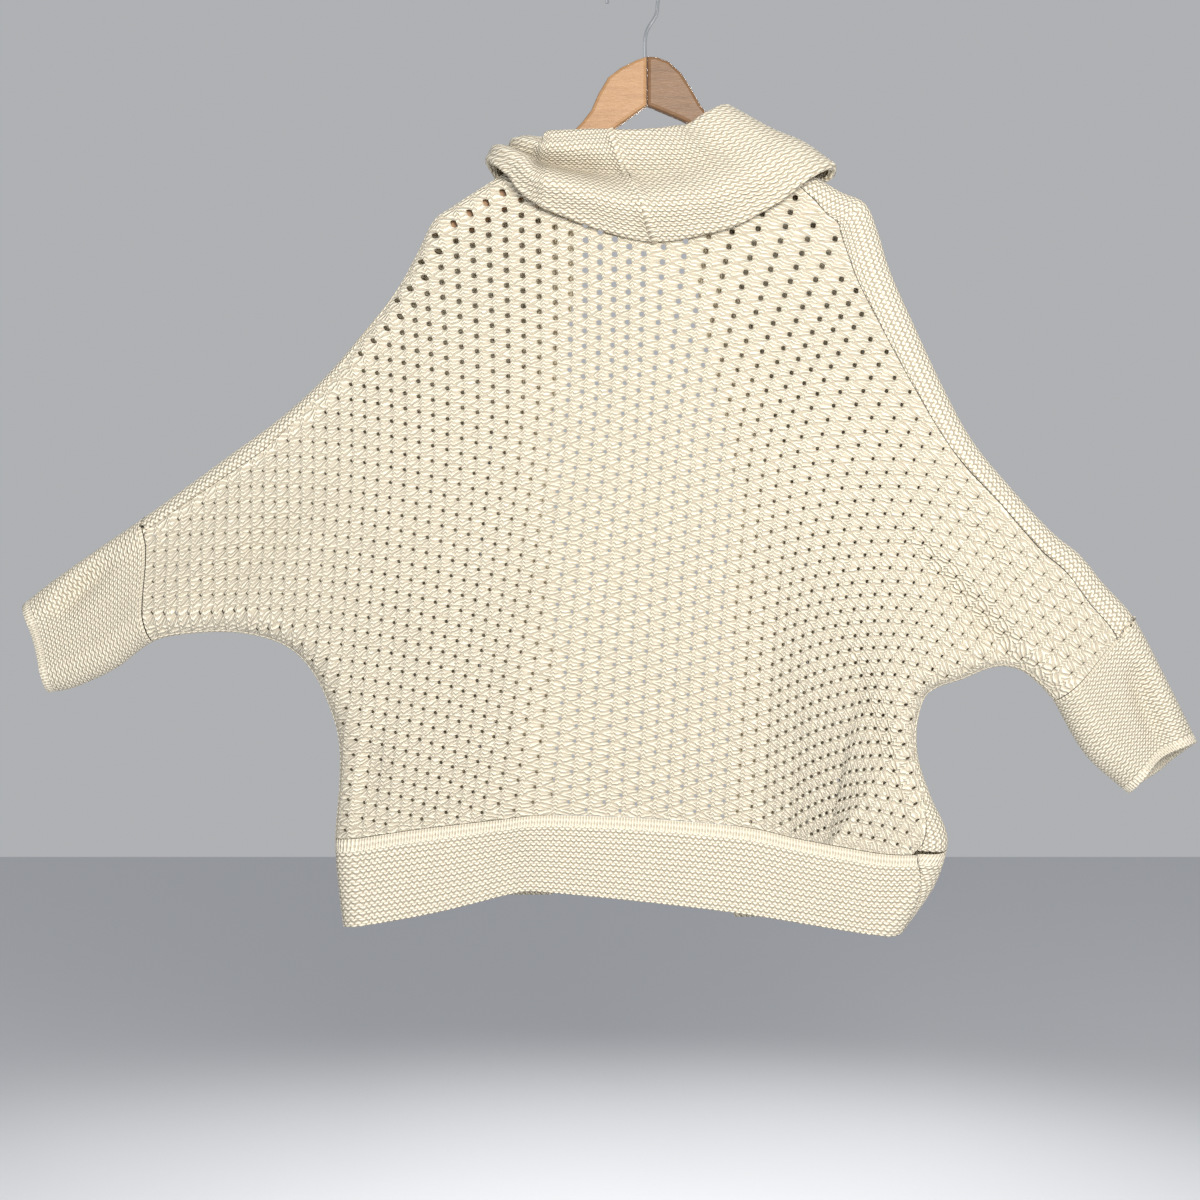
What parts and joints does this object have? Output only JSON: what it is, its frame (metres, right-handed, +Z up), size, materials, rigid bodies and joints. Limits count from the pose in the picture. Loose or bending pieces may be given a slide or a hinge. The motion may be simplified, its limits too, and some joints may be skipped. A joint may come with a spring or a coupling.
{
  "type": "cocoon cardigan on a hanger",
  "caption": "Open-front openwork knit cardigan with dolman sleeves, wide shawl collar and plain bands, hanging flat on a wooden hanger with a wire hook.",
  "frame": {"origin": "inner top of the hook, where it rests on the rail or peg", "axes": "+X across the garment's width, +Z up, -Y toward the pictured side, which is the garment's back"},
  "size_m": [1.1722, 0.1123, 0.9604],
  "materials": {
    "knit": "cream openwork knit with raised pebbles, and plain purl knit on the collar, hem and cuffs",
    "wood_light": "lighter honey wood, satin",
    "wood_dark": "darker honey wood, satin",
    "hook_steel": "polished wire"
  },
  "bodies": {
    "root": {"back_panel": "knit", "front_left": "knit", "front_right": "knit", "collar_left": "knit", "collar_right": "knit", "hem_back": "knit", "hem_front_left": "knit", "hem_front_right": "knit", "cuff_left": "knit", "cuff_right": "knit", "hanger_arm_left": "wood_light", "hanger_arm_right": "wood_dark", "hanger_hook": "hook_steel"}
  },
  "joints": []
}
